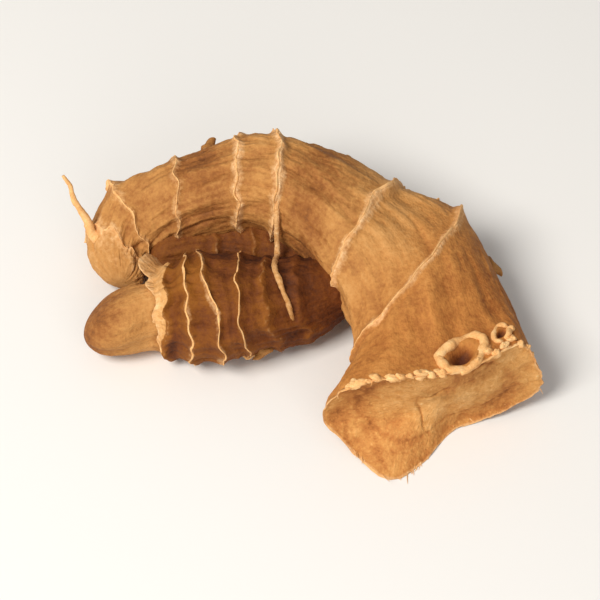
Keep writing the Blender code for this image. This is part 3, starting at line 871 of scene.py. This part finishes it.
def papery_material():
    """Dry leaf base: cream, with tan stains and fine cracks."""
    material, tree, shader = new_material("papery leaf base")
    place = node(tree, "TexCoord", {}).outputs["Object"]
    stains = noise(tree, place, 620, 4, 0.6)
    cracks = noise(tree, place, 4200, 3, 0.7)
    light = weigh(tree, -0.17, (stains, 0.95), (cracks, 0.6))
    colour = ramp(
        tree, light, (0.2, 172, 110, 54), (0.42, 212, 152, 90), (0.6, 231, 177, 113), (0.85, 242, 200, 142))
    rough = weigh(tree, 0.6, (cracks, 0.35))
    link_finish(tree, shader, colour, rough, cracks, specular=0.3, bump_strength=0.6, bump_depth=0.0001)
    return material


papery_finish = papery_material()
arch_fringes = [closed_band(fringe(arch, ARCH_LEAN, *row)) for row in ARCH_FRINGES]
finger_fringes = [closed_band(fringe(short_finger, FINGER_LEAN, *row)) for row in FINGER_FRINGES]
add_piece("arch_leaf_bases", arch_fringes, papery_finish)
add_piece("finger_leaf_bases", finger_fringes, papery_finish)
add_piece("neck_bract", [bract()], skin_finish)


# The edge of the cut.
# Where the knife went through, the dry skin stands a little proud of the flesh as a thin ragged lip. Crumbs
# of skin are caught on its upper edge, and torn fibres stick out, most of them where a flap was torn off.

# For each crumb: how far back from the rim it sits, the angle round and its size.
CRUMBS = (
    (0.2, 32, 0.34), (0.3, 37, 0.46), (0.2, 42, 0.40), (0.1, 47, 0.26), (0.3, 53, 0.44), (0.2, 61, 0.48),
    (0.3, 66, 0.40), (0.2, 72, 0.28), (0.4, 78, 0.62), (0.2, 83, 0.52), (0.4, 88, 0.44), (0.5, 109, 0.36),
    (1.0, 115, 0.48), (0.3, 119, 0.42), (1.9, 114, 0.40), (0.7, 124, 0.46), (1.0, 131, 0.40),
    (0.2, 136, 0.34), (2.3, 133, 0.36), (0.2, 146, 0.30), (0.3, 158, 0.34))
# A direction that no thread follows, from which its circles are laid out.
SLANT = (0.31, 0.17, 0.94)
# The torn fibres: their stretch of the rim in degrees, the shortest and the longest, and how many they are.
FLAP_FIBRES = ((284, 330), (0.5, 1.2), 22)
RIM_FIBRES = ((0, 284), (0.3, 0.8), 26)
FIBRE_THICKNESS = 0.15


def rim_lip():
    """The ragged lip of skin round the cut: the fringe's wedge, carried round the rim and leaning out."""
    angle = angles_round(480)
    ragged = 0.16 + 0.16 * ring_noise(191, angle, 30) + 0.12 * ring_noise(192, angle, 110)
    ragged = np.clip(ragged, 0.01, 1)
    rows = []
    for across, rise in FRINGE_PROFILE:
        base, out, _ = skin(arch, np.full_like(angle, arch_length - 0.16 + 1.2 * across), angle)
        base = base + out * rim_notches(angle, np.full_like(angle, arch_length))[:, None]
        rows.append(base + (0.35 * out + 0.9 * forward) * (rise * ragged)[:, None])
    return above_table(np.stack(rows))


def crumb(number, back, degrees, size):
    """A crumb of skin on the rim: a ball with seeded lumps, longest along the rim and sunk into it."""
    rng = np.random.default_rng(650 + number)
    rise, turn = grid_of(np.linspace(-math.pi / 2, math.pi / 2, 14), 20)
    lumps = 1 + 0.45 * lattice(600 + number, turn, rise, 5, 0.6)
    lumps += 0.2 * lattice(630 + number, turn, rise, 10, 0.3)
    base, out = spot(arch, arch_length - back, degrees)
    beside = unit(spot(arch, arch_length - back, degrees + 2.0)[0] - base)
    long, deep, high = rng.uniform(0.9, 1.5), rng.uniform(0.6, 0.9), rng.uniform(0.7, 1.0)
    ball = on_oval(beside, np.cross(out, beside), turn, np.cos(rise) * long, np.cos(rise) * deep)
    ball += out * (np.sin(rise) * high)[..., None]
    return base + ball * (1.4 * size * lumps)[..., None]


def square_to(heading):
    """Two directions square to each heading and to each other."""
    across = unit(np.cross(heading, SLANT))
    return across, np.cross(heading, across)


def rod(line, thickness, sides, seed):
    """A round thread: circles square to a line, with small seeded swellings, closed at both ends."""
    across, over = square_to(unit(np.gradient(line, axis=0)))
    run, angle = grid_of(run_along(line), sides)
    swelling = 1 + 0.26 * lattice(seed, angle, run, 3, 0.9) + 0.14 * lattice(seed + 1, angle, run, 5, 0.3)
    radius = (np.broadcast_to(thickness, len(line)) / 2)[:, None] * swelling
    circles = line[:, None] + on_oval(across[:, None], over[:, None], angle, radius, radius)
    start = np.repeat(line[:1, None], sides, 1)
    end = np.repeat(line[-1:, None], sides, 1)
    return above_table(np.concatenate([start, circles, end]))


def fibre(number, degrees, length):
    """A torn fibre at the rim: a thin tapered thread that starts in the skin and curls out of the face."""
    rng = np.random.default_rng(800 + number)
    base, out = spot(arch, arch_length - 0.4, degrees)
    way = 0.9 * forward + 0.35 * out + rng.normal(0, 0.35, 3)
    curl = rng.normal(0, 0.3, 3)
    step = np.linspace(0, 1, 7)[:, None]
    line = above_table(base - 0.1 * out + way * length * step + curl * length * step**2, 0.06)
    return rod(line, FIBRE_THICKNESS * (1 - 0.75 * step[:, 0]), 6, number)


rng = np.random.default_rng(790)
fibre_places, fibre_lengths = (
    np.concatenate([rng.uniform(*kind[k], kind[2]) for kind in (FLAP_FIBRES, RIM_FIBRES)]) for k in (0, 1))
crumbs = [crumb(number, *row) for number, row in enumerate(CRUMBS)]
fibres = [fibre(number, *row) for number, row in enumerate(zip(fibre_places, fibre_lengths))]
edge_surfaces = [closed_band(rim_lip()), *(closed_skin(grid) for grid in crumbs + fibres)]
add_piece("cut_edge", edge_surfaces, papery_finish)


# Rootlets.
# Thin roots dried on to the skin: a strand that hangs from the strongest ring down to the short finger,
# three on the outside of the arch, two curled into loops by the cut, and a spike at the hooked tip.

# Each one is a thickness, then stations: the finger, the distance along, the angle and the height above it.
ROOTLETS = (
    (0.7, (
        (arch, 26.9, 60, -0.2), (arch, 27.1, 22, 0.3), (short_finger, 9.9, 150, 0.5),
        (short_finger, 9.6, 105, 0.4), (short_finger, 9.0, 72, 0.4), (short_finger, 8.5, 42, 0.3),
        (short_finger, 8.4, 12, -0.4))),
    (0.7, (
        (arch, 33.6, 232, -0.4), (arch, 34.8, 214, 0.2), (arch, 36.6, 200, 0.1), (arch, 38.2, 193, 0.3),
        (arch, 39.2, 196, -0.4))),
    (0.7, (
        (arch, 55.6, 218, -0.4), (arch, 54.0, 208, 0.2), (arch, 52.4, 204, 0.2), (arch, 50.8, 210, -0.4))),
    (0.6, (
        (arch, 17.0, 140, -0.4), (arch, 18.2, 152, 0.2), (arch, 19.0, 170, 0.2), (arch, 20.6, 180, -0.3))),
)
# Each loop: the finger, the distance along, the angle, half its length, half its width, and its thickness.
LOOPS = (
    (arch, 62.6, 101, 2.1, 2.6, 1.2),
    (arch, 62.6, 126, 1.0, 1.2, 0.7),
)
# The spike: x, y and z of its line, and its thickness there.
SPIKE = (
    (-24.0, 4.6, 4.4, 1.7),
    (-26.6, 5.0, 6.6, 1.3),
    (-27.3, 6.0, 8.3, 0.9),
    (-28.6, 6.9, 10.2, 0.75),
    (-29.2, 8.2, 11.6, 0.6),
    (-29.9, 8.7, 12.8, 0.4),
)
# Hair-thin roots: the finger, where they start, along and round, which way they run and how long they are.
HAIR_ROOTS = (
    (arch, 12.0, 232, 1.0, 5.0), (arch, 24.0, 196, -0.8, 5.5), (arch, 30.0, 250, 0.5, 5.0),
    (arch, 36.0, 160, 0.9, 4.5), (arch, 43.0, 226, -0.6, 5.5), (arch, 56.0, 196, 0.7, 6.0),
    (arch, 60.0, 262, -0.9, 5.0), (arch, 46.0, 150, 0.4, 4.0), (short_finger, 12.0, 300, 0.8, 4.5),
    (short_finger, 17.0, 236, -0.7, 5.0), (lobe, 11.0, 286, 0.6, 4.0))
HAIR_THICKNESS = 0.28


def rootlet(stations, thickness, seed, steps=9, sides=12):
    """A rootlet through its stations on the skin, thinner at both ends."""
    knots = []
    for finger, along, degrees, height in stations:
        point, out = spot(finger, along, degrees)
        knots.append(point + out * height)
    line = whole_curve(np.array(knots), steps)
    taper = 1 - 0.4 * np.abs(np.linspace(-1, 1, len(line))) ** 3
    return rod(line, thickness * taper, sides, seed)


def strand(grid):
    """A rootlet in the colours of the skin: cream where it starts, and darker towards its tip, where a
    growing share of painted shade lies on it.
    """
    share = np.linspace(0, 1, len(grid))[:, None]
    masks = skin_masks(grid, scar=0.6 - 0.45 * share, tone=0.16 - 0.12 * share, shade=0.3 * share)
    return closed_skin(grid, **masks)


def loop_stations(finger, along, degrees, half_length, half_width):
    """Stations once round an oval on the skin, with both ends dipping into it."""
    radius = half_sizes(finger, along)[0]
    rng = np.random.default_rng(int(degrees))
    stations = []
    for step in range(11):
        turn = math.radians(-100 + 37.5 * step)
        height = -0.5 if step in (0, 10) else rng.uniform(-0.25, 0.1)
        bent = rng.uniform(0.86, 1.1)
        across = math.degrees(half_width / radius) * math.cos(turn) * bent
        stations.append((finger, along - half_length * math.sin(turn) * bent, degrees + across, height))
    return stations


def hair_stations(number, finger, along, degrees, drift, length):
    """Stations of a hair root: a seeded wander over the skin, which starts and ends just under it."""
    rng = np.random.default_rng(850 + number)
    radius = half_sizes(finger, along)[0]
    heading = drift * math.pi / 2 + np.cumsum(rng.normal(0, 0.45, 7))
    places = along + np.cumsum(length / 7 * np.sin(heading))
    turns = degrees + np.cumsum(np.degrees(length / 7 * np.cos(heading) / radius))
    heights = (-0.2, 0.08, 0.14, 0.1, 0.16, 0.08, -0.2)
    return [(finger, *station) for station in zip(places, turns, heights)]


strands = [strand(rootlet(row[1], row[0], 900 + number)) for number, row in enumerate(ROOTLETS)]
loops = [rootlet(loop_stations(*row[:-1]), row[-1], 910 + number) for number, row in enumerate(LOOPS)]
hairs = [
    rootlet(hair_stations(number, *row), HAIR_THICKNESS, 920 + number, steps=5, sides=8)
    for number, row in enumerate(HAIR_ROOTS)]
spike = whole_curve(np.array(SPIKE) + (*CENTRING, 0), 8)
spike_skin = rod(spike[:, :3], spike[:, 3], 14, 940)
add_piece("strands", strands, skin_finish)
add_piece("rootlets", [closed_skin(grid) for grid in (*loops, *hairs, spike_skin)], papery_finish)


# Root stubs.
# Thicker roots that were trimmed close to the skin when the piece was cleaned. Each is a short bent peg
# that widens into the skin, with a pale, slightly hollow end.

# For each stub: the finger, the distance along, the angle round and the thickness.
STUBS = (
    (arch, 11.0, 205, 1.3),
    (arch, 17.8, 232, 1.6),
    (arch, 19.2, 168, 1.2),
    (arch, 30.4, 226, 1.7),
    (arch, 34.0, 172, 1.3),
    (arch, 37.0, 300, 1.5),
    (arch, 43.6, 208, 1.7),
    (arch, 54.4, 186, 1.5),
    (arch, 56.0, 334, 1.4),
    (short_finger, 12.6, 318, 1.3),
    (short_finger, 19.0, 204, 1.2),
    (lobe, 9.6, 262, 1.5),
)
STUB_HEIGHT = 0.95
# A stub's outline, from inside the skin up to its rim and into the hollow: height and width, as shares of
# the stub's height and thickness. STUB_RIM is the first row of its rim.
STUB_OUTLINE = (
    (-1.2, 1.7), (-0.4, 1.65), (0.0, 1.55), (0.08, 1.42), (0.2, 1.22), (0.35, 1.1), (0.5, 1.02),
    (0.7, 0.95), (0.85, 0.88), (0.96, 0.84), (1.0, 0.78), (1.0, 0.66), (0.96, 0.5), (0.9, 0.3),
    (0.88, 0.08))
STUB_RIM = 10


def stub(number, finger, along, degrees, thickness):
    """A trimmed root: circles along a bent peg, wide at the skin, whose last rows turn in to a hollow."""
    rng = np.random.default_rng(700 + number)
    point, out = spot(finger, along, degrees)
    bend = np.cross(out, rng.normal(size=3)) * 0.45
    heights, widths = np.transpose(STUB_OUTLINE) * np.array([[STUB_HEIGHT], [thickness]])
    line = point + out * heights[:, None] + bend * np.clip(heights, 0, None)[:, None]
    rise, angle = grid_of(heights, 26)
    ribs = 1 + 0.09 * lattice(710 + number, angle, rise, 9, 0.8)
    ribs += 0.05 * lattice(730 + number, angle, rise, 20, 0.2)
    radius = widths[:, None] / 2 * ribs
    grid = above_table(line[:, None] + on_oval(*square_to(out), angle, radius, radius))
    top = (np.arange(len(heights)) >= STUB_RIM)[:, None]
    masks = skin_masks(
        grain_of(angle, 5 * rise + number), scar=0.55 * top, tone=-0.05 + 0.1 * top, shade=0.25 * (1 - top))
    return closed_skin(grid, **masks)


add_piece("root_stubs", [stub(number, *row) for number, row in enumerate(STUBS)], skin_finish)


# The floor, the light and the camera.
# A plain pale table under soft studio light from above and in front. The camera looks down at 50 degrees,
# as the photograph does, from far enough away to keep the piece free of strong perspective.

board, _, shader = new_material("pale board")
shader.inputs["Base Color"].default_value = paint(232, 230, 226)
shader.inputs["Roughness"].default_value = 0.8
mesh = bpy.data.meshes.new("floor")
FLOOR_HALF = 1.5
FLOOR_LEVEL = -0.00002
corners = [(x * FLOOR_HALF, y * FLOOR_HALF, FLOOR_LEVEL) for x, y in ((-1, -1), (1, -1), (1, 1), (-1, 1))]
mesh.from_pydata(corners, [], [(0, 1, 2, 3)])
mesh.materials.append(board)
floor = new_object("floor", mesh)


def aimed(name, data, place, target):
    """A lamp or camera at a place in metres, turned to its target."""
    made = new_object(name, data)
    made.location = place
    made.rotation_euler = (Vector(target) - Vector(place)).to_track_quat("-Z", "Y").to_euler()
    return made


def soft_light(name, place, size, power, colour):
    """A square area light, turned to the middle of the piece."""
    light = bpy.data.lights.new(name, "AREA")
    light.shape = "SQUARE"
    light.size = size
    light.energy = power
    light.color = colour
    aimed(name, light, place, (0, 0, 0.005))


soft_light("key", (-0.26, -0.20, 0.42), 0.24, 2.9, (1.0, 0.97, 0.93))
soft_light("front", (0.14, -0.50, 0.26), 0.40, 0.9, (1.0, 0.97, 0.94))

world = bpy.data.worlds.new("studio")
world.use_nodes = True
background = world.node_tree.nodes["Background"]
background.inputs["Color"].default_value = (1.0, 1.0, 1.0, 1.0)
background.inputs["Strength"].default_value = 0.32
bpy.context.scene.world = world
bpy.context.scene.view_settings.view_transform = "Standard"

ELEVATION = math.radians(50)
TARGET = Vector((0.0, 0.0, 0.0061))
DISTANCE = 0.394
lens = bpy.data.cameras.new("camera")
lens.lens = 200
lens.sensor_width = 36
lens.clip_start = 0.01
lens.clip_end = 10
camera_place = TARGET + DISTANCE * Vector((0, -math.cos(ELEVATION), math.sin(ELEVATION)))
bpy.context.scene.camera = aimed("camera", lens, camera_place, TARGET)
